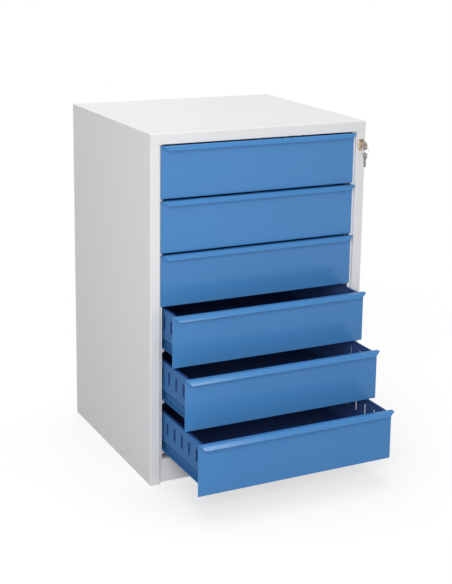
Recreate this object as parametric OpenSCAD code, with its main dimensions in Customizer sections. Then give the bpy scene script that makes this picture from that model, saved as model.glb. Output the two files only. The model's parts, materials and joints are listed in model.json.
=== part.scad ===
// Steel drawer cabinet with six drawers on rollers and a central lock.
// Millimetres. Z is up, X runs to the right, Y to the back.
// The origin is on the floor, in the middle of the cabinet's footprint.

// Sub-part to build; "all" builds the whole cabinet

/* [Cabinet] */
// Height of the cabinet
cab_h = 830; // [800:5:900]
// Width over the two side panels
cab_w = 556; // [500:4:620]
// Thickness of the sheet steel
sheet = 1; // [0.8:0.1:1.2]
// Outer radius of the folded edges of the shell
bend_r = 2; // [1.6:0.2:3]
// Width of each front stile
stile_w = 24; // [22:1:30]
// Height of the rail over the top drawer
top_rail_h = 24; // [16:1:30]
// Height of the plinth under the bottom drawer
plinth_h = 58; // [50:1:70]
// Width of the plinth's flange on the floor
floor_flange_w = 20; // [12:1:30]
// Clearance at seams between shell pieces
seam = 0.3; // [0.2:0.1:0.4]

/* [Front] */
// How far the closed drawer fronts stand behind the stiles
front_recess = 7; // [6:0.5:8]
// Gap between a closed front and the stop strip behind it
strip_gap = 0.5; // [0.3:0.1:0.8]
// How far the stop strips reach into the opening
strip_w = 8; // [7:0.5:9]
// Gap at each side of a drawer front
side_gap = 4; // [3:0.5:5]
// Gap between one front and the next
front_gap = 3.4; // [3:0.2:5]
// Gap over the top drawer
top_gap = 3.4; // [3:0.2:5]
// How far the bottom front hangs over the plinth
plinth_overlap = 4.4; // [3:0.2:6]

/* [Drawers] */
// Space for the runners at each side of a drawer box
runner_space = 12; // [12:0.5:14]
// Length of the drawer boxes
tray_l = 450; // [420:5:460]
// How far the box walls stand below the top of the front
tray_drop = 3; // [2:0.5:8]
// Width of the flange round the rim of a box
rim_w = 8; // [6:1:12]
// How far the lower walls are set in
joggle = 6; // [5:0.5:8]
// Height of the joggle's lower end over the bottom edge of the front
joggle_z = 44; // [44:1:46]
// Width of a divider bridge, a strip of the side wall pressed inward between two cuts
bridge_w = 12; // [8:1:14]
// Height of a divider bridge
bridge_h = 34.5; // [28:0.5:36]
// Height of the bridges' lower ends over the bottom edge of the front
bridge_z = 69; // [66:0.5:72]
// Distance of the first bridge behind the front
bridge_first = 25; // [20:0.5:30]
// Distance from one bridge to the next
bridge_pitch = 40.5; // [24:0.5:50]
// Gap between a bridge and the inside of its wall
bridge_gap = 3; // [2:0.5:4]
// Width of the cut beside a bridge
bridge_cut = 0.3; // [0.2:0.1:0.6]

/* [Handle lip] */
// How far the lip stands in front of the panel
lip_out = 16; // [12:0.5:18]
// Radius of the lip's nose
lip_r = 6; // [4:0.5:7]
// Height of the lip
lip_h = 11; // [9:0.5:14]
// Length of the cut corners at the lip's ends
lip_cut = 12; // [8:1:16]

/* [Pulled out] */
// How far the top drawer stands open
pull_1 = 0; // [0:1:360]
// How far the second drawer stands open
pull_2 = 0; // [0:1:360]
// How far the third drawer stands open
pull_3 = 0; // [0:1:360]
// How far the fourth drawer stands open
pull_4 = 68; // [0:1:360]
// How far the fifth drawer stands open
pull_5 = 138; // [0:1:360]
// How far the bottom drawer stands open
pull_6 = 210; // [0:1:360]

/* [Runners] */
// Thickness of the fixed rails and of the drawer runners
rail_t = 1.2; // [1:0.1:1.4]
// Height of the rail's underside over the bottom edge of the front
rail_z = 12; // [11:0.5:13]
// Diameter of the front rollers
roller_d = 14; // [13:0.2:14.4]
// Width of the front rollers
roller_w = 10; // [8.5:0.5:10]
// Width of the rear rollers
rear_roller_w = 7; // [5.5:0.5:7]
// Distance from a rail's web to its front roller
roller_stand = 4; // [1.5:0.1:4]
// Gap between a roller and what runs over it
roller_gap = 0.3; // [0.2:0.05:0.4]
// Diameter of the roller axles
axle_d = 5; // [4:0.2:5.6]
// Clearance of a roller on its axle, on the diameter
axle_fit = 0.1; // [0.06:0.02:0.16]
// Travel of a drawer from closed to its stop
travel = 370; // [360:1:375]
// Distance of the rear rollers before the box's rear end
rear_axle_end = 11; // [10:0.5:17]
// How far the fixed rails run past the closed box
rail_over = 22; // [10:1:24]
// Distance from the rails' rear ends to the cabinet's back
back_space = 30; // [4:1:60]
// Distance of the front posts behind the stiles
post_front_y = 44; // [40:1:60]
// Distance of the rear posts before the rails' rear ends
post_rear_end = 20; // [5:1:50]
// Length of a post's web along the side panel
post_w = 30; // [24:1:40]

/* [Lock] */
// Distance of the lock below the top rail
lock_drop = 32.5; // [28:0.5:60]
// Diameter of the turning plug
plug_d = 12; // [11:0.2:12.4]
// Diameter of the lock's barrel
barrel_d = 16; // [15:0.2:16.4]
// Width of the lock's plate
plate_w = 20; // [18:0.5:21]
// Height of the lock's plate
plate_h = 28; // [24:1:32]
// Thickness of the lock's plate, and of the collar before it
plate_t = 2.5; // [2:0.1:3]
// Length of the barrel behind the stile's face
barrel_l = 17; // [15:0.5:17]
// Clearance of the plug in its barrel, on the diameter
plug_fit = 0.1; // [0.06:0.02:0.16]
// Radius of the cam's pin about the plug
cam_r = 6; // [5:0.25:6]
// Diameter of the cam's pin
cam_pin_d = 4; // [3.4:0.1:4.2]
// Thickness of the cam
cam_t = 2.5; // [2:0.1:3]
// Width of the locking bar
bar_w = 19; // [18:0.25:19]
// Thickness of the locking bar
bar_t = 2.5; // [2:0.1:3]
// Height of a tab on the locking bar
tab_h = 9; // [8:0.5:10]
// Gap between an unlocked tab and the catch over it
tab_gap = 1.5; // [1.2:0.1:1.8]
// Height of a drawer's catch
catch_h = 12; // [10:0.5:12]

/* [Keys] */
// Thickness of the key blades and bows
key_t = 2; // [1.6:0.1:2.2]
// Height of a key blade
key_h = 8; // [7:0.5:8]
// Length of a key blade
key_l = 20; // [18:0.5:21]
// Diameter of the bow of the key in the lock
key_bow_d = 21; // [19:0.5:22]
// Diameter of the bow of the spare key
spare_bow_d = 17; // [16:0.5:17.5]
// Length of the spare key's blade
spare_l = 19; // [17:0.5:22]
// Diameter of the holes in the bows
key_hole_d = 4.4; // [4.2:0.1:4.8]
// Diameter of the key ring's middle line
ring_d = 18.8; // [18.6:0.2:20]
// Diameter of the key ring's wire
ring_wire = 1.6; // [1.2:0.1:1.8]

/* [Hidden] */
$fn = 48;
drawers = 6;

// Shell
rail_back_y = front_recess + sheet + tray_l + rail_over;
cab_d = rail_back_y + back_space;
front_y = -cab_d / 2;
back_y = cab_d / 2;
wall_x = cab_w / 2 - sheet;
open_x = cab_w / 2 - stile_w;
open_z = cab_h - top_rail_h;
inner_x = wall_x - seam;
return_d = 12;
rear_flange_w = 24;
strip_y = front_recess + sheet + strip_gap;
strip_x = open_x - strip_w;
plinth_y = front_y + strip_y + sheet + seam;
plinth_back_y = back_y - 2 * sheet - seam;

// Drawer fronts
first_z = plinth_h - plinth_overlap;
pitch = (open_z - top_gap + front_gap - first_z) / drawers;
front_h = pitch - front_gap;
front_x = open_x - side_gap;
lip_bend_r = 2 * sheet;
pulls = [pull_1, pull_2, pull_3, pull_4, pull_5, pull_6];

// Rails, runners and rollers; heights are over the bottom edge of a front
roller_z = rail_z + 1 + roller_d / 2;
roller_y = strip_y + sheet + 1 + roller_d / 2;
floor_z = roller_z + roller_d / 2 + roller_gap;
flange_gap = 1;
rail_h = floor_z - flange_gap - rail_z;
rail_web_x = open_x - rail_t;
rail_in_x = rail_web_x - 9.8;
rail_y = strip_y + sheet + 1;
post_rear_y = rail_back_y - post_rear_end - post_w;
rear_axle_y = sheet + tray_l - rear_axle_end;
rear_roller_d = rail_h - 2 * rail_t - 2 * roller_gap;
rear_roller_z = rail_z + rail_h / 2;
rear_roller_x = rail_web_x - 2.3 - rear_roller_w / 2;
front_roller_x = rail_web_x - roller_stand - roller_w / 2;
stop_t = 1.2;
stop_h = 6.8;
stop_y = front_recess - travel + rear_axle_y - rear_roller_d / 2 - roller_gap;
axle_head_t = 1;

// Drawer boxes
tray_x = open_x - runner_space;
tray_low_x = tray_x - joggle;
tray_z = front_h - tray_drop;
bridge_count = 1 + floor((tray_l - bridge_first - bridge_w) / bridge_pitch);
bridge_top = bridge_z + bridge_h;
catch_z = joggle_z + 12;
catch_y = 20.5;
catch_x = strip_x - 0.6;

// Lock
lock_x = open_x + stile_w / 2;
lock_z = open_z - lock_drop;
plug_back = barrel_l + 1;
barrel_hole_fit = 0.6;
clip_t = 1.2;
clip_slot = 1.4;
clip_depth = 1;
bar_y = front_y + plug_back + cam_t + 3.5;
bar_x = cab_w / 2 - 2;
bar_stroke = 2 * cam_r * sin(45);
tab_x = rail_in_x;
bar_low_z = first_z + catch_z - tab_gap - tab_h - 7;
bar_top_z = lock_z + 12;
guide_z = 105;
guide_t = 1.5;
guide_fit = 0.4;
keyway_fit = 0.4;

// Keys
bow_y = front_y - 2 * plate_t - 3 - key_bow_d / 2;
ring_y = bow_y - 2.5;
hold = key_hole_d / 2 - ring_wire / 2 - 0.1;
ring_top_z = lock_z - 0.8 - hold;
ring_z = ring_top_z - ring_d / 2;
spare_hole_z = ring_z - ring_d / 2 - hold;
spare_bow_z = spare_hole_z - 1.8;

// Colours
shell_grey = [0.86, 0.86, 0.87];
drawer_blue = [0.25, 0.48, 0.70];
zinc = [0.72, 0.73, 0.75];
nylon = [0.80, 0.82, 0.86];
nickel = [0.74, 0.70, 0.62];

// Height of the bottom edge of front n; drawer 1 is the top one
function drawer_z(n) = first_z + (drawers - n) * pitch;

// Y of the face of front n where the drawer stands
function drawer_y(n) = front_y + front_recess - pulls[n - 1];

// ---------- Helpers ----------

// The shape as drawn for the right side (side 1) or mirrored for the left (side 0)
module on_side(side) {
  mirror([1 - side, 0, 0]) children();
}

module both_sides() {
  for (side = [0, 1]) on_side(side) children();
}

// Box between two opposite corners
module box(from, to) {
  translate(from) cube(to - from);
}

// Quarter of a bent sheet, outer radius r, in the first quadrant
module bend(r, t = sheet) {
  intersection() {
    difference() {
      circle(r = r);
      circle(r = r - t);
    }
    square(r + 1);
  }
}

// Runs a profile drawn in (Y, Z) along X, centred
module across(width) {
  rotate([90, 0, 90]) linear_extrude(width, center = true) children();
}

// Runs a profile drawn in (X, Z) along Y, from y0 to y1
module along(y0, y1) {
  translate([0, y1, 0]) rotate([90, 0, 0]) linear_extrude(y1 - y0) children();
}

// Cylinder along X from x0 to x1
module rod_x(d, x0, x1) {
  translate([x0, 0, 0]) rotate([0, 90, 0]) cylinder(d = d, h = x1 - x0);
}

// Cylinder along Y from y0 to y1
module rod_y(d, y0, y1) {
  translate([0, y1, 0]) rotate([90, 0, 0]) cylinder(d = d, h = y1 - y0);
}

// ---------- Shell ----------

// Plan of the front fold: side wall, stile, return and stop strip
module stile_profile() {
  translate([open_x + bend_r, front_y]) square([stile_w - 2 * bend_r, sheet]);
  translate([cab_w / 2 - bend_r, front_y + bend_r]) mirror([0, 1]) bend(bend_r);
  translate([open_x + bend_r, front_y + bend_r]) rotate(180) bend(bend_r);
  translate([wall_x, front_y + bend_r]) square([sheet, return_d]);
  translate([open_x, front_y + bend_r]) square([sheet, strip_y + sheet - bend_r]);
  translate([strip_x, front_y + strip_y]) square([strip_w + sheet, sheet]);
}

// Plan of the side wall behind the stile, with its rear flange
module wall_profile() {
  wall_front = front_y + sheet + seam;
  translate([wall_x, wall_front]) square([sheet, back_y - bend_r - wall_front]);
  translate([cab_w / 2 - bend_r, back_y - bend_r]) bend(bend_r);
  translate([cab_w / 2 - rear_flange_w, back_y - sheet]) square([rear_flange_w - bend_r, sheet]);
}

module side_panel(side) {
  color(shell_grey) on_side(side) {
    linear_extrude(open_z - seam) stile_profile();
    linear_extrude(cab_h - sheet) wall_profile();
  }
}

module side_left() {
  side_panel(0);
}

// The right side panel also carries the lock
module side_right() {
  color(shell_grey) difference() {
    side_panel(1);
    translate([lock_x, 0, lock_z]) rod_y(barrel_d + barrel_hole_fit, front_y - 1, front_y + sheet + 1);
  }
}

module top_panel() {
  color(shell_grey) {
    across(cab_w) {
      translate([front_y + bend_r, cab_h - sheet]) square([cab_d - bend_r, sheet]);
      translate([front_y + bend_r, cab_h - bend_r]) mirror([1, 0]) bend(bend_r);
      translate([front_y, open_z]) square([sheet, top_rail_h - bend_r]);
    }
    box([seam - open_x, front_y, open_z], [open_x - seam, front_y + return_d, open_z + sheet]);
    rear_x = cab_w / 2 - rear_flange_w - seam;
    box([-rear_x, back_y - sheet, cab_h - return_d], [rear_x, back_y, cab_h]);
  }
}

module back_panel() {
  x = cab_w / 2 - bend_r - seam;
  color(shell_grey)
    box([-x, back_y - 2 * sheet, 2], [x, back_y - sheet, cab_h - sheet - seam]);
}

module base_panel() {
  color(shell_grey)
    box([-inner_x, plinth_y, plinth_h - sheet], [inner_x, plinth_back_y, plinth_h]);
}

// Rectangular ring inside the shell's footprint, w wide, from z0 to z1
module plinth_ring(w, z0, z1) {
  difference() {
    box([-inner_x, plinth_y, z0], [inner_x, plinth_back_y, z1]);
    box([w - inner_x, plinth_y + w, z0 - 1], [inner_x - w, plinth_back_y - w, z1 + 1]);
  }
}

module plinth() {
  color(shell_grey) {
    plinth_ring(sheet, 0, plinth_h - sheet);
    plinth_ring(floor_flange_w, 0, sheet);
    plinth_ring(floor_flange_w - 5, plinth_h - 2 * sheet, plinth_h - sheet);
  }
}

// Post of C section against the side wall, y behind the stiles
module post(side, y) {
  post_lip = 8;
  color(shell_grey) on_side(side)
    translate([0, front_y + y, plinth_h]) linear_extrude(cab_h - sheet - plinth_h) {
      translate([wall_x - sheet, 0]) square([sheet, post_w]);
      for (edge = [0, post_w - sheet])
        translate([open_x, edge]) square([wall_x - open_x, sheet]);
      for (edge = [0, post_w - post_lip])
        translate([open_x, edge]) square([sheet, post_lip]);
    }
}

module post_front_left() {
  post(0, post_front_y);
}

module post_front_right() {
  post(1, post_front_y);
}

module post_rear_left() {
  post(0, post_rear_y);
}

module post_rear_right() {
  post(1, post_rear_y);
}

// ---------- Fixed rails and rollers ----------

// Pair of channel rails of drawer n, each with a stop for the rear roller
module rail(n) {
  flange_y = roller_y + roller_d / 2 + 2;
  color(zinc) translate([0, front_y, drawer_z(n)]) both_sides() {
    difference() {
      box([rail_web_x, rail_y, rail_z], [open_x, rail_back_y, rail_z + rail_h]);
      translate([0, roller_y, roller_z]) rod_x(axle_d, rail_web_x - 1, open_x + 1);
    }
    for (z = [rail_z, rail_z + rail_h - rail_t])
      box([rail_in_x, flange_y, z], [open_x, rail_back_y, z + rail_t]);
    box([rail_in_x + 0.5, stop_y - stop_t, rail_z], [open_x, stop_y, rail_z + rail_t + stop_h]);
  }
}

// Rivets that carry the front rollers, headed at both ends
module rail_axles() {
  color(zinc) for (n = [1 : drawers])
    translate([0, front_y + roller_y, drawer_z(n) + roller_z]) both_sides() {
      inner_x0 = front_roller_x - roller_w / 2 - 0.3;
      rod_x(axle_d, inner_x0 - axle_head_t, open_x + axle_head_t);
      rod_x(axle_d + 2, inner_x0 - axle_head_t, inner_x0);
      rod_x(axle_d + 3, front_roller_x + roller_w / 2 + 0.3, rail_web_x);
      rod_x(axle_d + 3, open_x, open_x + axle_head_t);
    }
}

// Roller of diameter d and width w about the X axis, centred, with bevelled edges
module roller(d, w) {
  chamfer = 0.6;
  rotate([0, 90, 0]) difference() {
    union() {
      cylinder(d = d, h = w - 2 * chamfer, center = true);
      for (end = [0, 1]) mirror([0, 0, end])
        translate([0, 0, w / 2 - chamfer]) cylinder(d1 = d, d2 = d - 2 * chamfer, h = chamfer);
    }
    cylinder(d = axle_d + axle_fit, h = w + 2, center = true);
  }
}

module front_rollers(n) {
  color(nylon) translate([0, front_y + roller_y, drawer_z(n) + roller_z]) both_sides()
    translate([front_roller_x, 0, 0]) roller(roller_d, roller_w);
}

// ---------- Drawers ----------

// Puts a shape drawn with its front face at Y 0 where drawer n stands
module in_drawer(n) {
  translate([0, drawer_y(n), drawer_z(n)]) children();
}

// Right half of the box's section in (X, Z): floor, joggled wall and rim flange
module tray_wall_profile() {
  miter = sheet * tan(22.5);
  top = tray_z - lip_bend_r;
  polygon([
    [0, floor_z],
    [tray_low_x, floor_z],
    [tray_low_x, joggle_z],
    [tray_x, joggle_z + joggle],
    [tray_x, top],
    [tray_x - sheet, top],
    [tray_x - sheet, joggle_z + joggle + miter],
    [tray_low_x - sheet, joggle_z + miter],
    [tray_low_x - sheet, floor_z + sheet],
    [0, floor_z + sheet]
  ]);
  translate([tray_x - lip_bend_r, top]) bend(lip_bend_r);
  translate([tray_x - rim_w, tray_z - sheet]) square([rim_w - lip_bend_r, sheet]);
}

// Right half of the box's end wall in (X, Z)
module tray_end_profile() {
  top = tray_z - lip_bend_r;
  polygon([
    [0, floor_z],
    [tray_low_x, floor_z],
    [tray_low_x, joggle_z],
    [tray_x, joggle_z + joggle],
    [tray_x, top],
    [tray_x - lip_bend_r, top],
    [tray_x - lip_bend_r, tray_z],
    [0, tray_z]
  ]);
  translate([tray_x - lip_bend_r, top]) intersection() {
    circle(r = lip_bend_r);
    square(lip_bend_r + 1);
  }
}

// Section of a divider bridge in (X, Z), with legs at 45 degrees
module bridge_profile() {
  miter = sheet * tan(22.5);
  leg = bridge_gap + sheet;
  polygon([
    [tray_x, bridge_z],
    [tray_x - leg, bridge_z + leg],
    [tray_x - leg, bridge_top - leg],
    [tray_x, bridge_top],
    [tray_x - sheet, bridge_top + miter],
    [tray_x - leg - sheet, bridge_top - leg + miter],
    [tray_x - leg - sheet, bridge_z + leg - miter],
    [tray_x - sheet, bridge_z - miter]
  ]);
}

module tray(n) {
  y0 = sheet;
  y1 = sheet + tray_l;
  color(drawer_blue) in_drawer(n) {
    difference() {
      union() {
        both_sides() along(y0, y1) tray_wall_profile();
        for (y = [y0, y1 - sheet]) both_sides() along(y, y + sheet) tray_end_profile();
        for (y = [y0, y1 - rim_w])
          box([-tray_x + lip_bend_r, y, tray_z - sheet], [tray_x - lip_bend_r, y + rim_w, tray_z]);
      }
      for (i = [0 : bridge_count - 1]) translate([0, bridge_first + i * bridge_pitch, 0]) both_sides()
        box([tray_x - sheet - 1, -bridge_w / 2, bridge_z], [tray_x + 1, bridge_w / 2, bridge_top]);
    }
    for (i = [0 : bridge_count - 1]) translate([0, bridge_first + i * bridge_pitch, 0]) both_sides()
      along(bridge_cut - bridge_w / 2, bridge_w / 2 - bridge_cut) bridge_profile();
  }
}

// Section of the front in (Y, Z): panel, rear bend, flat top, round nose, turned-down edge
module front_profile() {
  square([sheet, front_h - lip_bend_r]);
  translate([sheet - lip_bend_r, front_h - lip_bend_r]) bend(lip_bend_r);
  translate([lip_r - lip_out, front_h - sheet]) square([lip_out - lip_r + sheet - lip_bend_r, sheet]);
  translate([lip_r - lip_out, front_h - lip_r]) mirror([1, 0]) bend(lip_r);
  translate([-lip_out, front_h - lip_h]) square([sheet, lip_h - lip_r]);
}

module front(n) {
  color(drawer_blue) in_drawer(n) difference() {
    across(2 * front_x) front_profile();
    // Cut corners at the ends of the lip
    both_sides() along(-lip_out - 1, -lip_bend_r) polygon([
      [front_x - lip_cut, front_h - lip_h - 0.01],
      [front_x + 1, front_h - lip_h - 0.01],
      [front_x + 1, front_h - sheet],
      [front_x - 1, front_h - sheet]
    ]);
  }
}

// Angle bracket on the right wall, whose ear the locking bar's tab stops
module catch() {
  color(drawer_blue) {
    box([tray_x, catch_y, catch_z], [tray_x + rail_t, catch_y + 12, catch_z + catch_h]);
    box([tray_x, catch_y, catch_z], [catch_x, catch_y + rail_t, catch_z + catch_h]);
  }
}

// Pair of angle runners, each with a stub axle for its rear roller, and the catch
module drawer_runner(n) {
  web_h = 15.7;
  tab_l = 26;
  color(drawer_blue) in_drawer(n) both_sides() {
    box([tray_low_x, 2 * sheet, floor_z], [catch_x, sheet + tray_l, floor_z + rail_t]);
    box([tray_low_x, 2 * sheet, floor_z], [tray_low_x + rail_t, sheet + tray_l, floor_z + web_h]);
    box([tray_low_x, rear_axle_y - tab_l / 2, rail_z + 1.5],
        [tray_low_x + rail_t, sheet + tray_l, floor_z + rail_t]);
    translate([0, rear_axle_y, rear_roller_z]) {
      inner = rear_roller_x - rear_roller_w / 2 - roller_gap;
      outer = rear_roller_x + rear_roller_w / 2 + roller_gap;
      rod_x(axle_d, tray_low_x, outer + axle_head_t);
      rod_x(axle_d + 3, tray_low_x, inner);
      rod_x(axle_d + 2, outer, outer + axle_head_t);
    }
  }
  in_drawer(n) catch();
}

module rear_rollers(n) {
  color(nylon) in_drawer(n) translate([0, rear_axle_y, rear_roller_z]) both_sides()
    translate([rear_roller_x, 0, 0]) roller(rear_roller_d, rear_roller_w);
}

// ---------- Lock ----------

// Puts a shape drawn about the Y axis on the lock's axis, Y 0 at the stile's face
module at_lock() {
  translate([lock_x, front_y, lock_z]) children();
}

// Plate, collar and barrel, bored through for the plug and grooved for the clip
module lock_housing() {
  color(nickel) at_lock() difference() {
    union() {
      along(-plate_t, 0) {
        square([plate_w, plate_h - plate_w], center = true);
        for (z = [-1, 1]) translate([0, z * (plate_h - plate_w) / 2]) circle(d = plate_w);
      }
      rod_y(barrel_d, -2 * plate_t, barrel_l);
    }
    rod_y(plug_d + plug_fit, -2 * plate_t - 1, barrel_l + 1);
    both_sides()
      box([barrel_d / 2 - clip_depth, sheet, -barrel_d], [barrel_d, sheet + clip_slot, barrel_d]);
  }
}

// Fork pushed over the barrel's grooves behind the stile
module lock_clip() {
  w = stile_w - 2 * bend_r - 2 * seam;
  color(zinc) at_lock() difference() {
    box([-w / 2, sheet, -11], [w / 2, sheet + clip_t, 13]);
    gap = barrel_d / 2 - clip_depth + seam;
    box([-gap, 0, -12], [gap, sheet + clip_t + 1, 0]);
    rod_y(barrel_d + seam, 0, sheet + clip_t + 1);
  }
}

// Turning plug with an upright keyway, open at the front
module lock_plug() {
  keyway_w = key_t + keyway_fit;
  keyway_h = key_h + 0.6;
  color(nickel) at_lock() difference() {
    rod_y(plug_d, -2 * plate_t, plug_back);
    box([-keyway_w / 2, -2 * plate_t - 1, -keyway_h / 2],
        [keyway_w / 2, key_l - 2 * plate_t + 0.5, keyway_h / 2]);
  }
}

// Cam on the plug's rear end; its pin points down to the right while unlocked
module lock_cam() {
  arm_w = cam_pin_d + 3;
  color(zinc) at_lock() rotate([0, 45, 0]) {
    rod_y(plug_d, plug_back, plug_back + cam_t);
    box([0, plug_back, -arm_w / 2], [cam_r, plug_back + cam_t, arm_w / 2]);
    translate([cam_r, 0, 0]) {
      rod_y(arm_w, plug_back, plug_back + cam_t);
      rod_y(cam_pin_d, plug_back, plug_back + cam_t + 3.5 + bar_t - 0.3);
    }
  }
}

// Flat bar behind the right stile, with a tab for each drawer and a cross slot for the cam's pin
module lock_bar() {
  pin_z = lock_z - bar_stroke / 2;
  slot_fit = 0.3;
  color(zinc) difference() {
    union() {
      box([bar_x - bar_w, bar_y, bar_low_z], [bar_x, bar_y + bar_t, bar_top_z]);
      for (n = [1 : drawers]) {
        z = drawer_z(n) + catch_z - tab_gap;
        box([tab_x, bar_y, z - tab_h], [bar_x - bar_w + 1, bar_y + bar_t, z]);
      }
    }
    along(bar_y - 1, bar_y + bar_t + 1) {
      low = lock_x + cam_r * cos(45);
      high = lock_x + cam_r;
      translate([low, pin_z - cam_pin_d / 2 - slot_fit]) square([high - low, cam_pin_d + 2 * slot_fit]);
      for (x = [low, high]) translate([x, pin_z]) circle(d = cam_pin_d + 2 * slot_fit);
    }
  }
}

// Forks on the side wall in which the bar slides, beside drawers 2, 4 and 6
module bar_guides() {
  leg = 3.2;
  in_x = bar_x - bar_w - guide_fit;
  color(zinc) for (n = [2 : 2 : drawers]) translate([0, bar_y, drawer_z(n) + guide_z]) {
    difference() {
      box([in_x - 2, -guide_fit - leg, 0], [wall_x, bar_t + guide_fit + leg, guide_t]);
      box([in_x, -guide_fit, -1], [wall_x + 1, bar_t + guide_fit, guide_t + 1]);
    }
    for (y = [-guide_fit - leg, bar_t + guide_fit])
      box([wall_x - guide_t / 2, y, 0], [wall_x, y + leg, 10]);
  }
}

// ---------- Keys ----------

// Blade section notched along its lower edge, in (Y, Z), tip at y 0, running to -length
module blade_profile(length) {
  difference() {
    translate([-length, -key_h / 2]) square([length, key_h]);
    for (i = [0 : 3]) translate([-2.6 - 3.4 * i, -key_h / 2])
      rotate(45) square(1.2 + 0.4 * (i % 2), center = true);
    translate([0, -key_h / 2]) rotate(45) square(3, center = true);
    translate([0, key_h / 2]) rotate(45) square(2.4, center = true);
  }
}

// Key in the lock: round bow with the ring's hole, neck and blade
module key() {
  tip_y = front_y + key_l - 2 * plate_t;
  color(nickel) translate([lock_x, 0, 0]) across(key_t) difference() {
    union() {
      translate([bow_y, lock_z]) circle(d = key_bow_d);
      translate([tip_y, lock_z]) blade_profile(tip_y - bow_y);
    }
    translate([ring_y, lock_z - 0.8]) circle(d = key_hole_d);
  }
}

// Wire ring that hangs in the hole of the key's bow
module key_ring() {
  color(nickel) translate([lock_x, ring_y, ring_z]) rotate([90, 0, 0])
    rotate_extrude() translate([ring_d / 2, 0]) circle(d = ring_wire, $fn = 24);
}

// Spare key that hangs from the ring, blade down
module spare_key() {
  tip_z = spare_bow_z - spare_bow_d / 2 - spare_l;
  color(nickel) translate([lock_x, 0, 0]) across(key_t) difference() {
    union() {
      translate([ring_y, spare_bow_z]) circle(d = spare_bow_d);
      translate([ring_y, tip_z]) rotate(-90) blade_profile(spare_bow_z - tip_z);
    }
    translate([ring_y, spare_hole_z]) circle(d = key_hole_d);
  }
}

// ---------- Assembly ----------

side_left();
side_right();
top_panel();
back_panel();
base_panel();
plinth();
post_front_left();
post_front_right();
post_rear_left();
post_rear_right();
rail_axles();
lock_housing();
lock_clip();
bar_guides();
lock_plug();
lock_cam();
lock_bar();
key();
key_ring();
spare_key();
for (n = [1 : drawers]) {
  rail(n);
  front_rollers(n);
  tray(n);
  front(n);
  drawer_runner(n);
  rear_rollers(n);
}
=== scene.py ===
# %% [markdown]
# # A steel drawer cabinet
# This notebook dresses an engineered model of a workshop cabinet. The model gives every sheet,
# roller and lock part its exact shape and place. What is added here is what the eye reads as a
# real product: powder coat, zinc and nickel, folds that catch the light, keys on a wound ring, and
# a plain studio to see them in. The frame is loaded first and is never moved.

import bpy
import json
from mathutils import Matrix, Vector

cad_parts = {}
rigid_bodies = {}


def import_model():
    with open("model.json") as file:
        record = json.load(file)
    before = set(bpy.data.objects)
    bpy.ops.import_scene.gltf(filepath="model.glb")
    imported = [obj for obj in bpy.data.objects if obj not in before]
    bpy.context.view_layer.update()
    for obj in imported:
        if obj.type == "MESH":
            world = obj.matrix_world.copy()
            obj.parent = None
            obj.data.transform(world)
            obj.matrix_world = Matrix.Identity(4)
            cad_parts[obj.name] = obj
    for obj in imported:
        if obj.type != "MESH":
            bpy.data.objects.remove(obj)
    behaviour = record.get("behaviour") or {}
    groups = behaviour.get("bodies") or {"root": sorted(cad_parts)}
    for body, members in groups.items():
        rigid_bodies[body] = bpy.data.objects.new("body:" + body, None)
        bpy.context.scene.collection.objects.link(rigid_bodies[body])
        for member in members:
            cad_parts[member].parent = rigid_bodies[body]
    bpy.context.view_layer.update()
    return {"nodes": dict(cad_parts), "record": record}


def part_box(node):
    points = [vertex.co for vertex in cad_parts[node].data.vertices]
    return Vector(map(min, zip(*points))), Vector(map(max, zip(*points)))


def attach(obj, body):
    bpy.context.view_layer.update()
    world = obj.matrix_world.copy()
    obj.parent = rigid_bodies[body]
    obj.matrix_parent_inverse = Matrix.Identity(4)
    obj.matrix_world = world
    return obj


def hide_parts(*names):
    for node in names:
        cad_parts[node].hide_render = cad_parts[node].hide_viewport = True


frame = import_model()

# %% Libraries and units
import json
import math

import bmesh
import bpy
from mathutils import Matrix, Vector

MM = 0.001
scene = bpy.context.scene
DRAWERS = range(1, 7)


def size_of(node):
    low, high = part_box(node)
    return high - low


# Foot of the lowest front, step from drawer to drawer, outside of the boxes
FIRST_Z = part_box("front_6")[0].z
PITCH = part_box("front_5")[0].z - FIRST_Z
BOX_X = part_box("tray_6")[1].x
# Heights over the foot of a front: the box's rim, and the ends of its divider strips
RIM_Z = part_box("tray_6")[1].z - FIRST_Z
STRIP_LOW, STRIP_HIGH = 69.0 * MM, 103.5 * MM
print("front panel:", [round(v / MM, 1) for v in size_of("front_1")], "mm")

# %% [markdown]
# ## Writing shader maths as sums
# A procedural finish is mostly arithmetic on a few noise patterns. Adding each Math node by hand
# hides the formula, so a small class wraps a socket and lets Python's own operators add the nodes:
# `1 - mask` or `speckle * 0.1 + 0.4` then read as they would on paper.

# %% A number that lives in a shader
class Wave:
    """A value that changes over a surface."""

    def __init__(self, finish, socket):
        self.finish = finish
        self.socket = socket

    def math(self, operation, *others):
        return self.finish.node("ShaderNodeMath", {"operation": operation}, [self, *others])

    def __add__(self, other):
        return self.math("ADD", other)

    def __sub__(self, other):
        return self.math("SUBTRACT", other)

    def __mul__(self, other):
        return self.math("MULTIPLY", other)

    def __truediv__(self, other):
        return self.math("DIVIDE", other)

    def __rsub__(self, other):
        return self.finish.node("ShaderNodeMath", {"operation": "SUBTRACT"}, [other, self])

    def __pow__(self, other):
        return self.math("POWER", other)

    __radd__ = __add__
    __rmul__ = __mul__

    def clamped(self):
        return self.finish.node("ShaderNodeClamp", {}, [self])

    def between(self, low, high):
        """0 below low, 1 above high, and a smooth step from one to the other."""
        smooth = {"interpolation_type": "SMOOTHSTEP"}
        values = {"Value": self, "From Min": low, "From Max": high}
        return self.finish.node("ShaderNodeMapRange", smooth, values)


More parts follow.
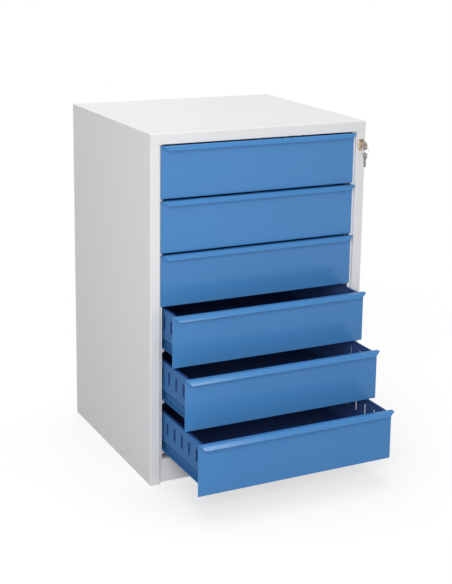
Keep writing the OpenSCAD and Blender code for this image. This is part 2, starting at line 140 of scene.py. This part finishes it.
# %% One method that makes any shader node
class Finish:
    """A material under construction."""

    def __init__(self, name):
        self.material = bpy.data.materials.new(name)
        self.material.use_nodes = True
        self.tree = self.material.node_tree
        self.shader = self.tree.nodes["Principled BSDF"]

    def node(self, kind, settings, inputs, output=0):
        """A new node with its settings, its inputs fed by name or order, as its output's value."""
        made = self.tree.nodes.new(kind)
        for name, value in settings.items():
            setattr(made, name, value)
        items = inputs.items() if isinstance(inputs, dict) else enumerate(inputs)
        for key, value in items:
            self.feed(made.inputs[key], value)
        return Wave(self, made.outputs[output])

    def feed(self, socket, value):
        if isinstance(value, Wave):
            self.tree.links.new(value.socket, socket)
        else:
            socket.default_value = value

    def place(self):
        return self.node("ShaderNodeTexCoord", {}, {}, "Object")

    def axis(self, name):
        """One coordinate of the point, in the object's own axes."""
        return self.node("ShaderNodeSeparateXYZ", {}, [self.place()], name)

    def scaled(self, x, y, z):
        return self.node("ShaderNodeMapping", {}, {"Vector": self.place(), "Scale": (x, y, z)})

    def noise(self, scale, detail=2.0, roughness=0.5, at=None):
        values = {"Scale": scale, "Detail": detail, "Roughness": roughness}
        return self.node("ShaderNodeTexNoise", {}, {"Vector": at or self.place(), **values})

    def mix(self, factor, first, second):
        """One colour turning into another where factor rises."""
        values = {0: factor, 6: first, 7: second}
        return self.node("ShaderNodeMix", {"data_type": "RGBA"}, values, 2)

    def bump(self, height, strength, distance):
        values = {"Height": height, "Strength": strength, "Distance": distance}
        return self.node("ShaderNodeBump", {}, values)

    def set(self, **values):
        """Feed the main shader's inputs and return the material."""
        for name, value in values.items():
            self.feed(self.shader.inputs[name.replace("_", " ")], value)
        return self.material


print("shader helpers ready")

# %% [markdown]
# ## Light grey powder coat
# The shell is sprayed with dry powder and baked. The film melts into a satin skin with a fine
# orange-peel ripple. Colour hardly varies on a new cabinet, so life comes from three small things:
# a broad drift in tone, the ripple in the normal, and a little floor dust up to a hand's width.

# %% Shell coat
DUST_TOP = 90 * MM


def rgba(red, green, blue):
    return (red, green, blue, 1.0)


def shell_coat():
    f = Finish("shell_coat")
    tone = f.noise(3.0, 3.0)
    grain = f.noise(900.0, 2.0)
    low = 1 - f.axis("Z").between(0.0, DUST_TOP)
    dust = low * f.noise(28.0, 5.0, 0.62).between(0.42, 0.72)
    coat = f.mix(tone, rgba(0.735, 0.735, 0.745), rgba(0.775, 0.773, 0.778))
    speckled = f.mix(grain.between(0.55, 0.8) * 0.25, coat, rgba(0.70, 0.70, 0.71))
    colour = f.mix(dust * 0.16, speckled, rgba(0.46, 0.44, 0.41))
    peel = f.noise(420.0, 2.0, 0.4) + f.noise(1500.0, 1.0) * 0.3
    return f.set(
        Base_Color=colour,
        Roughness=tone * 0.06 + grain * 0.05 + 0.44 + dust * 0.2,
        Specular_IOR_Level=0.24,
        Normal=f.bump(peel, 0.09, 0.00025),
    )


# %% [markdown]
# ## Blue powder coat
# The fronts are coated in a smooth blue with a satin gloss. Hands polish the lips, so the film gets
# a shade glossier in places, and the sheet's faint waviness from folding shows as slow ripples in
# the reflections. The boxes behind the fronts get a duller coat, and their blue is painted darker
# than the fronts', partly for that coat and partly as painted shade. Inside a box the blue is
# painted deeper and more violet still, as painted shade. One finish serves all six boxes: a face
# that looks away from the middle is outside, and a height counted from the bottom of each front
# finds the rim.
# The strips pressed into the side walls are painted darker as well, as painted shade in their
# recess.

# %% Drawer coats
def drawer_coat():
    f = Finish("drawer_coat")
    tone = f.noise(4.0, 3.0)
    grain = f.noise(1100.0, 2.0)
    scuff = f.noise(60.0, 6.0, 0.7, f.scaled(1.0, 0.15, 3.0)).between(0.66, 0.8)
    coat = f.mix(tone, rgba(0.062, 0.230, 0.520), rgba(0.069, 0.246, 0.552))
    colour = f.mix(scuff * 0.08, coat, rgba(0.095, 0.29, 0.60))
    waves = f.noise(9.0, 1.0) * 0.5 + f.noise(520.0, 2.0, 0.4) * 0.05
    return f.set(
        Base_Color=colour,
        Roughness=tone * 0.04 + grain * 0.03 + scuff * 0.10 + 0.13,
        Specular_IOR_Level=0.38,
        Normal=f.bump(waves, 0.25, 0.0006),
    )


def box_coat(name, shade):
    """The dull blue of a box or runner; shade gives its colour from the tone noise."""
    f = Finish(name)
    tone = f.noise(7.0, 3.0)
    grain = f.noise(700.0, 2.0)
    rub = f.noise(35.0, 5.0, 0.65, f.scaled(1.0, 0.08, 1.0)).between(0.62, 0.78)
    return f.set(
        Base_Color=f.mix(rub * 0.15, shade(f, tone), rgba(0.07, 0.20, 0.44)),
        Roughness=tone * 0.06 + grain * 0.08 + 0.52,
        Specular_IOR_Level=0.22,
        Normal=f.bump(f.noise(480.0, 2.0, 0.4), 0.10, 0.0002),
    )


def runner_painted_shade(f, tone):
    """An even, dark blue: the boxes' paint, made darker as painted shade."""
    return f.mix(tone, rgba(0.028, 0.120, 0.305), rgba(0.034, 0.140, 0.340))


def tray_shade(f, tone):
    """Blue outside and on the rim, with painted shade: darker on the strips, deeper inside."""
    # The outside blue: darker than the fronts', partly a duller coat and partly painted shade
    outside = f.mix(tone, rgba(0.035, 0.142, 0.350), rgba(0.042, 0.162, 0.385))
    # Painted shade for the inside of a box: a deeper, more violet blue
    painted_inside_shade = f.mix(tone, rgba(0.046, 0.094, 0.275), rgba(0.057, 0.110, 0.315))
    # Above zero where the face looks away from the middle
    facing = f.node("ShaderNodeTexCoord", {}, {}, "Normal")
    outward = f.node("ShaderNodeSeparateXYZ", {}, [facing], "X") * f.axis("X")
    wall = outward.between(0.02, 0.06)
    level = ((f.axis("Z") - FIRST_Z) / PITCH).math("FRACT") * PITCH
    rim = level.between(RIM_Z - 2.0 * MM, RIM_Z)
    # Painted shade on the outer faces of the pressed strips: the dark blue mixed in below
    sunk = 1 - f.axis("X").math("ABSOLUTE").between(BOX_X - 1.4 * MM, BOX_X - 0.6 * MM)
    strip = sunk * level.between(STRIP_LOW - 1.0 * MM, STRIP_LOW)
    panel = f.mix(strip, outside, rgba(0.014, 0.062, 0.215))
    return f.mix((1 - wall) * (1 - rim), panel, painted_inside_shade)


# %% [markdown]
# ## Bare metals and nylon
# Rails and the locking bar are zinc plated: bright, bluish and slightly spangled. The lock is
# nickel on brass, whose warmth shows where the plating is thin, and the keys are duller from the
# pocket. Rollers are natural nylon, which looks faintly waxy and dulls where it runs.

# %% Zinc, nickel and nylon
def zinc_plate():
    f = Finish("zinc_plate")
    spangle = f.noise(160.0, 2.0) * 0.6 + f.noise(22.0, 2.0) * 0.4
    drawn = f.noise(240.0, 2.0, 0.6, f.scaled(1.0, 0.03, 1.0))
    colour = f.mix(spangle, rgba(0.50, 0.52, 0.55), rgba(0.70, 0.72, 0.75))
    return f.set(
        Base_Color=colour,
        Metallic=1.0,
        Roughness=spangle * 0.12 + drawn * 0.10 + 0.28,
        Normal=f.bump(drawn, 0.12, 0.0002),
    )


def nickel_plate(name, dull, bright, roughness):
    f = Finish(name)
    haze = f.noise(420.0, 3.0)
    scratch = f.noise(1400.0, 3.0, 0.7, f.scaled(1.0, 0.2, 0.08)).between(0.56, 0.72)
    return f.set(
        Base_Color=f.mix(haze.between(0.35, 0.65), dull, bright),
        Metallic=1.0,
        Roughness=haze * 0.12 + scratch * 0.16 + roughness,
        Normal=f.bump(scratch, 0.15, 0.0001),
    )


def roller_nylon():
    f = Finish("roller_nylon")
    milk = f.noise(90.0, 3.0)
    colour = f.mix(milk, rgba(0.56, 0.58, 0.62), rgba(0.68, 0.70, 0.73))
    return f.set(
        Base_Color=colour,
        Roughness=milk * 0.15 + 0.38,
        Normal=f.bump(f.noise(700.0, 2.0), 0.10, 0.0002),
    )


LOCK_DULL, LOCK_BRIGHT = rgba(0.36, 0.29, 0.20), rgba(0.66, 0.58, 0.46)
KEY_DULL, KEY_BRIGHT = rgba(0.58, 0.48, 0.38), rgba(0.80, 0.69, 0.57)
FINISHES = {
    "shell": shell_coat(),
    "drawer_blue": drawer_coat(),
    "box_blue": box_coat("box_coat", tray_shade),
    "runner_blue": box_coat("runner_coat", runner_painted_shade),
    "zinc": zinc_plate(),
    "nylon": roller_nylon(),
    "nickel": nickel_plate("lock_nickel", LOCK_DULL, LOCK_BRIGHT, 0.22),
    "key_nickel": nickel_plate("key_nickel", KEY_DULL, KEY_BRIGHT, 0.50),
}
print("finishes:", ", ".join(FINISHES))

# %% [markdown]
# ## Dress the engineered parts
# The record names a material slot for each part, so the finishes can be handed out by name. Boxes
# and runners share the fronts' slot but wear a duller blue with painted shade. The parts keep their
# shape and place.

# %% Hand out the finishes
def wear(thing, slot):
    thing.data.materials.clear()
    thing.data.materials.append(FINISHES[slot])


slot_of = {entry["node"]: entry["material_slot"] for entry in frame["record"]["subparts"]}
own_blue = {"tray": "box_blue", "drawer_runner": "runner_blue"}
for name, part in frame["nodes"].items():
    kind = name.rstrip("_123456")
    wear(part, own_blue.get(kind, slot_of[name]))
print("dressed", len(slot_of), "parts")

# %% [markdown]
# ## A helper for Geometry Nodes
# What repeats or follows a rule is built by a node tree with named inputs, so that a size can be
# changed in one place. The helper adds nodes by type, feeds their sockets by name, and at the end
# bakes the tree to a plain mesh that rides on one body.

# %% Build and bake a tree
class Tree:
    """A Geometry Nodes tree with named inputs."""

    def __init__(self, name, sizes):
        self.group = bpy.data.node_groups.new(name, "GeometryNodeTree")
        face = self.group.interface
        face.new_socket("Geometry", in_out="INPUT", socket_type="NodeSocketGeometry")
        self.ids = {}
        self.sizes = sizes
        for key, value in sizes.items():
            kind = "NodeSocket" + {int: "Int", float: "Float"}.get(type(value), "Vector")
            self.ids[key] = face.new_socket(key, in_out="INPUT", socket_type=kind).identifier
        face.new_socket("Geometry", in_out="OUTPUT", socket_type="NodeSocketGeometry")
        self.start = self.group.nodes.new("NodeGroupInput")

    def size(self, key):
        """The named input, as a socket that other nodes can use."""
        return self.start.outputs[key]

    def node(self, kind, settings=None, inputs=None, output=0):
        made = self.group.nodes.new(kind)
        for name, value in (settings or {}).items():
            setattr(made, name, value)
        for key, value in (inputs or {}).items():
            socket = made.inputs[key]
            if isinstance(value, bpy.types.NodeSocket):
                self.group.links.new(value, socket)
            else:
                socket.default_value = value
        return made.outputs[output]

    def maths(self, operation, first, second=0.0):
        return self.node("ShaderNodeMath", {"operation": operation}, {0: first, 1: second})

    def join(self, *parts):
        made = self.group.nodes.new("GeometryNodeJoinGeometry")
        for part in parts:
            self.group.links.new(part, made.inputs[0])
        return made.outputs[0]

    def finish(self, geometry, material):
        real = self.node("GeometryNodeRealizeInstances", inputs={0: geometry})
        coat = {"Geometry": real, "Material": material}
        painted = self.node("GeometryNodeSetMaterial", inputs=coat)
        end = self.group.nodes.new("NodeGroupOutput")
        self.group.links.new(painted, end.inputs[0])

    def bake(self, name, base, **sizes):
        """The tree run on the mesh base, with some sizes changed, as a new plain object."""
        holder = bpy.data.objects.new(name + "_live", base)
        scene.collection.objects.link(holder)
        modifier = holder.modifiers.new("tree", "NODES")
        modifier.node_group = self.group
        for key, value in {**self.sizes, **sizes}.items():
            modifier[self.ids[key]] = value
        bpy.context.view_layer.update()
        alive = holder.evaluated_get(bpy.context.evaluated_depsgraph_get())
        mesh = bpy.data.meshes.new_from_object(alive)
        holder.modifiers.clear()
        bpy.data.objects.remove(holder)
        baked = bpy.data.objects.new(name, mesh)
        scene.collection.objects.link(baked)
        return baked


def smooth_bends(mesh, degrees=32):
    """Smooth shading with sharp edges where the surface turns by more than the angle."""
    mesh.polygons.foreach_set("use_smooth", [True] * len(mesh.polygons))
    mesh.set_sharp_from_angle(angle=math.radians(degrees))
    mesh.update()


print("tree helper ready")

# %% [markdown]
# ## The folded drawer front
# Each front is one strip of sheet: a panel, a bend over the top, a flat, a tight nose and a
# turned-down edge to pull on, which leans out a little at its foot so that fingers find it. That is
# a profile swept across the width, so the profile is drawn once as a face and a tree extrudes it. A
# rule on the vertices then trims the lip's lower corners, the way a shear would. The sheet's free
# edges are rounded in the profile, because cut and coated steel has no knife edge, and that is what
# catches the light.

# %% The profile of the bent sheet
PANEL_T = 1.0 * MM
BEND_R = 2.0 * MM
LIP_OUT = 16.0 * MM
LIP_H = 11.0 * MM
LIP_CUT = 12.0 * MM
NOSE_R = 2.6 * MM
LEAN_DEGREES = 15.0
# The trimming rule works on what stands further out than this
LIP_START = -3.0 * MM
WELD = 0.01 * MM
FRONT_H = size_of("front_1").z
FRONT_W = size_of("front_1").x


def arc(cy, cz, radius, start, stop, steps):
    """Points on an arc in the (Y, Z) plane, angles in degrees, one more point than steps."""
    points = []
    for i in range(steps + 1):
        angle = math.radians(start + (stop - start) * i / steps)
        points.append((cy + radius * math.cos(angle), cz + radius * math.sin(angle)))
    return points


def front_profile():
    """Outline of the folded sheet, once round, with Y 0 at the panel's face."""
    t = PANEL_T
    tip = t / 2
    lean = math.radians(LEAN_DEGREES)
    turn = 180 - LEAN_DEGREES
    bend_y, bend_z = t - BEND_R, FRONT_H - BEND_R
    tip_y, tip_z = tip - LIP_OUT, FRONT_H - LIP_H + tip
    nose_z = FRONT_H - NOSE_R
    nose_y = tip_y + (nose_z - tip_z) * math.tan(lean) + (NOSE_R - tip) / math.cos(lean)
    return (
        arc(bend_y, bend_z, BEND_R, 0, 90, 6)
        + arc(nose_y, nose_z, NOSE_R, 90, turn, 10)
        + arc(tip_y, tip_z, tip, turn, turn + 180, 6)
        + arc(nose_y, nose_z, NOSE_R - t, turn, 90, 8)
        + arc(bend_y, bend_z, BEND_R - t, 90, 0, 4)
        + arc(tip, tip, tip, 180, 360, 6)
    )


def profile_face(name, points, x):
    """A mesh of one face in the plane X = x."""
    mesh = bpy.data.meshes.new(name)
    mesh.from_pydata([(x, y, z) for y, z in points], [], [list(range(len(points)))])
    mesh.update()
    return mesh


profile = front_profile()
print("profile:", len(profile), "points")

# %% The tree that sweeps and trims it
def lip_tree():
    sizes = {"Width": FRONT_W, "Height": FRONT_H, "Lip height": LIP_H, "Corner cut": LIP_CUT}
    tree = Tree("folded_front", {**sizes, "Place": Vector()})
    outline = tree.start.outputs[0]
    along = tree.node("ShaderNodeCombineXYZ", inputs={"X": tree.size("Width")})
    sweep = {"Mesh": outline, "Offset": along, "Offset Scale": 1.0, "Individual": False}
    swept = tree.node("GeometryNodeExtrudeMesh", inputs=sweep)
    cap = tree.node("GeometryNodeFlipFaces", inputs={0: outline})
    weld = {"Geometry": tree.join(swept, cap), "Distance": WELD}
    closed = tree.node("GeometryNodeMergeByDistance", inputs=weld)
    spot = tree.node("GeometryNodeInputPosition")
    split = tree.group.nodes.new("ShaderNodeSeparateXYZ")
    tree.group.links.new(spot, split.inputs[0])
    x, y, z = split.outputs
    lip_bottom = tree.maths("SUBTRACT", tree.size("Height"), tree.size("Lip height"))
    above = tree.maths("SUBTRACT", z, lip_bottom)
    rise = tree.maths("DIVIDE", above, tree.size("Lip height"))
    share = tree.maths("MAXIMUM", tree.maths("MINIMUM", rise, 1.0), 0.0)
    trim = tree.maths("MULTIPLY", tree.maths("SUBTRACT", 1.0, share), tree.size("Corner cut"))
    half = tree.maths("MULTIPLY", tree.size("Width"), 0.5)
    reach = tree.maths("DIVIDE", tree.maths("SUBTRACT", half, trim), half)
    on_lip = tree.node("FunctionNodeCompare", {"operation": "LESS_THAN"}, {0: y, 1: LIP_START})
    nearer = tree.maths("MULTIPLY", x, reach)
    shorter = tree.node("ShaderNodeCombineXYZ", inputs={"X": nearer, "Y": y, "Z": z})
    move = {"Geometry": closed, "Selection": on_lip, "Position": shorter}
    cut = tree.node("GeometryNodeSetPosition", inputs=move)
    shift = {"Geometry": cut, "Translation": tree.size("Place")}
    put = tree.node("GeometryNodeTransform", inputs=shift)
    tree.finish(put, FINISHES["drawer_blue"])
    return tree


front_tree = lip_tree()
face = profile_face("front_profile", profile, -FRONT_W / 2)
for n in DRAWERS:
    low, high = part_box(f"front_{n}")
    place = Vector(((low.x + high.x) / 2, low.y + LIP_OUT, low.z))
    skin = front_tree.bake(f"front_skin_{n}", face, Place=place)
    smooth_bends(skin.data)
    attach(skin, f"drawer_{n}")
    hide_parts(f"front_{n}")
print("front skin:", len(skin.data.polygons), "faces")

# %% [markdown]
# ## Strips pressed into the boxes
# Each side wall carries a row of short strips, cut free on both sides and pressed inward, behind
# which a divider hooks. The press tool pushes them hardly deeper than the sheet is thick, so only a
# thin slit opens beside each strip. The skin of a box is its engineered mesh with the depth of the
# strips set.

# %% Set the depth of the strips
ENGINEERED_DEPTH = 4.0 * MM
PRESSED_DEPTH = 1.7 * MM
SLACK = 0.1 * MM


def box_skin(number):
    """The box with its strips at the pressed depth, and how many corners were moved."""
    node = f"tray_{number}"
    mesh = frame["nodes"][node].data.copy()
    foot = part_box(f"front_{number}")[0].z
    outer = BOX_X - ENGINEERED_DEPTH + SLACK
    inner = BOX_X - ENGINEERED_DEPTH - PANEL_T - SLACK
    moved = 0
    for corner in mesh.vertices:
        x, _, z = corner.co
        if inner < abs(x) < outer and STRIP_LOW < z - foot < STRIP_HIGH:
            corner.co.x = x + math.copysign(ENGINEERED_DEPTH - PRESSED_DEPTH, x)
            moved += 1
    mesh.update()
    skin = bpy.data.objects.new(f"box_skin_{number}", mesh)
    scene.collection.objects.link(skin)
    wear(skin, "box_blue")
    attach(skin, f"drawer_{number}")
    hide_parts(node)
    return moved


print("strip corners set:", [box_skin(n) for n in DRAWERS])

# %% [markdown]
# ## The split ring
# A key ring is a spring: a flat coil of round wire that goes round nearly twice and steps sideways
# once, so that a key can be worked on to it. A rule gives every point of the wire, so the tree
# bends a line of points into the coil and sweeps a small circle along it.

# %% Wind the wire
RING_POINTS = 150
RING_TURNS = 1.92
RING_R = 9.4 * MM
WIRE_R = 0.39 * MM
# The wire changes its layer between these shares of its length; a layer lies this many wire
# radii off the middle
STEP_START, STEP_END = 0.42, 0.58
LAYER = 1.03


def split_ring_tree():
    sizes = {"Points": RING_POINTS, "Turns": RING_TURNS, "Radius": RING_R, "Wire": WIRE_R}
    tree = Tree("split_ring", {**sizes, "Centre": Vector()})
    line = tree.node("GeometryNodeMeshLine", {}, {"Count": tree.size("Points")})
    index = tree.node("GeometryNodeInputIndex")
    last = tree.maths("SUBTRACT", tree.size("Points"), 1.0)
    share = tree.maths("DIVIDE", index, last)
    turns = tree.maths("MULTIPLY", share, tree.size("Turns"))
    angle = tree.maths("MULTIPLY", turns, 2 * math.pi)
    step = tree.node(
        "ShaderNodeMapRange",
        {"interpolation_type": "SMOOTHSTEP"},
        {
            "Value": share,
            "From Min": STEP_START,
            "From Max": STEP_END,
            "To Min": -LAYER,
            "To Max": LAYER,
        },
    )
    across = tree.maths("MULTIPLY", tree.maths("COSINE", angle), tree.size("Radius"))
    upright = tree.maths("MULTIPLY", tree.maths("SINE", angle), tree.size("Radius"))
    sideways = tree.maths("MULTIPLY", step, tree.size("Wire"))
    spot = tree.node("ShaderNodeCombineXYZ", inputs={"X": across, "Y": sideways, "Z": upright})
    coil = tree.node("GeometryNodeSetPosition", inputs={"Geometry": line, "Position": spot})
    wire = tree.node("GeometryNodeMeshToCurve", inputs={0: coil})
    circle = {"Resolution": 10, "Radius": tree.size("Wire")}
    section = tree.node("GeometryNodeCurvePrimitiveCircle", inputs=circle)
    sweep = {"Curve": wire, "Profile Curve": section, "Fill Caps": True}
    solid = tree.node("GeometryNodeCurveToMesh", inputs=sweep)
    shift = {"Geometry": solid, "Translation": tree.size("Centre")}
    put = tree.node("GeometryNodeTransform", inputs=shift)
    tree.finish(put, FINISHES["key_nickel"])
    return tree


low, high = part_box("key_ring")
start = bpy.data.meshes.new("start")
ring = split_ring_tree().bake("split_ring", start, Centre=(low + high) / 2)
smooth_bends(ring.data, degrees=50)
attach(ring, "key_ring")
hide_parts("key_ring")
print("ring wire:", len(ring.data.polygons), "faces")

# %% [markdown]
# ## Soft edges on the lock and keys
# Keys are stamped and then tumbled in a drum, and the lock's plate is cast, so neither has a sharp
# edge. A copy of the engineered mesh is welded, its flat faces are joined, and every crisp edge
# gets a small bevel. The bevel only takes material away, so the parts still fit each other.

# %% Tumble the edges
SEAM = 0.002 * MM
FLAT_DEGREES = 2
CRISP_DEGREES = 40
SOFT_EDGES = (
    ("key", "key", 0.30 * MM, "key_nickel"),
    ("spare_key", "spare_key", 0.30 * MM, "key_nickel"),
    ("lock_housing", "cabinet", 0.45 * MM, "nickel"),
    ("lock_plug", "lock_plug", 0.20 * MM, "nickel"),
)


def softened(node, body, width, finish):
    """A copy of the node with small bevels, which takes the node's place."""
    mesh = frame["nodes"][node].data.copy()
    shape = bmesh.new()
    shape.from_mesh(mesh)
    bmesh.ops.remove_doubles(shape, verts=shape.verts, dist=SEAM)
    flat = math.radians(FLAT_DEGREES)
    bmesh.ops.dissolve_limit(shape, angle_limit=flat, verts=shape.verts, edges=shape.edges)
    limit = math.radians(CRISP_DEGREES)
    inner_edges = [e for e in shape.edges if len(e.link_faces) == 2]
    bmesh.ops.bevel(
        shape,
        geom=[e for e in inner_edges if e.calc_face_angle(0) > limit],
        offset=width,
        offset_type="OFFSET",
        segments=2,
        profile=0.5,
        affect="EDGES",
        clamp_overlap=True,
    )
    bmesh.ops.recalc_face_normals(shape, faces=shape.faces)
    shape.to_mesh(mesh)
    shape.free()
    soft = bpy.data.objects.new("soft_" + node, mesh)
    scene.collection.objects.link(soft)
    wear(soft, finish)
    smooth_bends(soft.data, degrees=35)
    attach(soft, body)
    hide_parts(node)
    return soft


for job in SOFT_EDGES:
    soft = softened(*job)
    print(soft.name, len(soft.data.polygons), "faces")

# %% [markdown]
# ## The studio
# A pale floor that turns into white further out, an even world, and seven soft lamps. The key lamp
# stands in front and to the left, a large one hangs overhead, and weaker ones fill the low front,
# the sides and the back, so that the cabinet can be looked at from all round. A narrow strip low
# in front puts a glint on the folded edges. The floor keeps the object's shadow. Only the stage
# asks whether a ray comes from the camera, so the object's own colours don't depend on the view.

# %% Floor
HALF_FLOOR = 40.0
# The floor turns white between these distances from the cabinet's middle
NEAR, FAR = 0.55, 1.7
# Share of pure white that the camera sees close by, and that a mirror sees far out
NEAR_WHITE = 0.64
MIRRORED_WHITE = 0.9


def stage_floor():
    f = Finish("stage_floor")
    x, y = f.axis("X"), f.axis("Y")
    far = ((x * x + y * y) ** 0.5).between(NEAR, FAR)
    seen = f.node("ShaderNodeLightPath", {}, {}, "Is Camera Ray")
    mirrored = f.node("ShaderNodeLightPath", {}, {}, "Is Glossy Ray")
    paper = f.mix(f.noise(6.0), rgba(0.95, 0.95, 0.95), rgba(0.97, 0.97, 0.97))
    f.set(Base_Color=f.mix(seen, rgba(0.44, 0.44, 0.45), paper), Roughness=0.9)
    glow = f.tree.nodes.new("ShaderNodeEmission")
    blend = f.tree.nodes.new("ShaderNodeMixShader")
    to_camera = seen * (far * (1 - NEAR_WHITE) + NEAR_WHITE)
    f.feed(blend.inputs[0], (to_camera + mirrored * far * MIRRORED_WHITE).clamped())
    f.tree.links.new(f.shader.outputs[0], blend.inputs[1])
    f.tree.links.new(glow.outputs[0], blend.inputs[2])
    f.tree.links.new(blend.outputs[0], f.tree.nodes["Material Output"].inputs["Surface"])
    return f.material


ground = bpy.data.meshes.new("ground")
edge = HALF_FLOOR
corners = [(-edge, -edge, 0), (edge, -edge, 0), (edge, edge, 0), (-edge, edge, 0)]
ground.from_pydata(corners, [], [(0, 1, 2, 3)])
floor = bpy.data.objects.new("floor", ground)
scene.collection.objects.link(floor)
ground.materials.append(stage_floor())
print("floor laid")

# %% World and lamps
FILL = 0.38
MIDDLE = Vector((0, -0.1, 0.45))
# Name, place, width, height, power in watts
LAMPS = (
    ("key_lamp", (-1.2, -2.2, 1.4), 1.3, 1.3, 35),
    ("low_lamp", (-1.6, -2.6, 0.6), 1.6, 0.9, 3),
    ("left_lamp", (-2.6, -0.5, 0.7), 1.6, 1.2, 6),
    ("right_lamp", (2.6, 0.2, 0.7), 1.6, 1.2, 14),
    ("rear_lamp", (0.3, 2.8, 0.6), 1.8, 1.0, 18),
    ("top_lamp", (0.0, 0.35, 3.1), 2.4, 2.4, 49),
    ("edge_lamp", (0.82, -3.0, 0.42), 0.28, 0.7, 5),
)


def soft_lamp(name, place, width, height, power):
    """An area lamp that looks at the cabinet's middle."""
    light = bpy.data.lights.new(name, "AREA")
    light.shape = "RECTANGLE"
    light.size, light.size_y, light.energy = width, height, power
    lamp = bpy.data.objects.new(name, light)
    scene.collection.objects.link(lamp)
    lamp.location = place
    lamp.rotation_euler = (lamp.location - MIDDLE).to_track_quat("Z", "Y").to_euler()


world = bpy.data.worlds.new("studio")
scene.world = world
world.use_nodes = True
sky = world.node_tree
backdrop = sky.nodes["Background"]
white = sky.nodes.new("ShaderNodeBackground")
for layer, strength in ((backdrop, FILL), (white, 1.0)):
    layer.inputs["Color"].default_value = rgba(1, 1, 1)
    layer.inputs["Strength"].default_value = strength
path = sky.nodes.new("ShaderNodeLightPath")
choose = sky.nodes.new("ShaderNodeMixShader")
sky.links.new(path.outputs["Is Camera Ray"], choose.inputs[0])
sky.links.new(backdrop.outputs[0], choose.inputs[1])
sky.links.new(white.outputs[0], choose.inputs[2])
sky.links.new(choose.outputs[0], sky.nodes["World Output"].inputs["Surface"])

for lamp in LAMPS:
    soft_lamp(*lamp)
print("lamps:", [lamp[0] for lamp in LAMPS])

# %% [markdown]
# ## Camera
# A long lens from the front left and a little above. The lens is shifted down slightly, as a
# product photographer does to keep upright edges upright.

# %% Place the camera
# Angles in degrees; the focal length in pixels of a picture 584 pixels high
AZIMUTH, ELEVATION, ROLL = -27.7245, 12.7586, 1.1008
FOCAL_PX, PICTURE_H = 1264.444, 584
SENSOR = 36.0
STAND = Vector((-1332.983, -2790.369, 1284.333)) * MM
SHIFT_X, SHIFT_Y = -0.06, -0.14


def place_camera():
    a, e, r = (math.radians(v) for v in (AZIMUTH, ELEVATION, ROLL))
    back = Vector((math.sin(a) * math.cos(e), -math.cos(a) * math.cos(e), math.sin(e)))
    right = Vector((math.cos(a), math.sin(a), 0))
    up = back.cross(right)
    right, up = right * math.cos(r) + up * math.sin(r), up * math.cos(r) - right * math.sin(r)
    data = bpy.data.cameras.new("camera")
    data.sensor_width = SENSOR
    data.lens = FOCAL_PX * SENSOR / PICTURE_H
    data.shift_x, data.shift_y = SHIFT_X, SHIFT_Y
    data.clip_start, data.clip_end = 0.05, 200
    camera = bpy.data.objects.new("camera", data)
    scene.collection.objects.link(camera)
    turn = Matrix((right, up, back)).transposed()
    camera.matrix_world = Matrix.Translation(STAND) @ turn.to_4x4()
    scene.camera = camera
    return data


lens = place_camera().lens
scene.view_settings.view_transform = "Standard"
print("lens:", round(lens, 2), "mm")
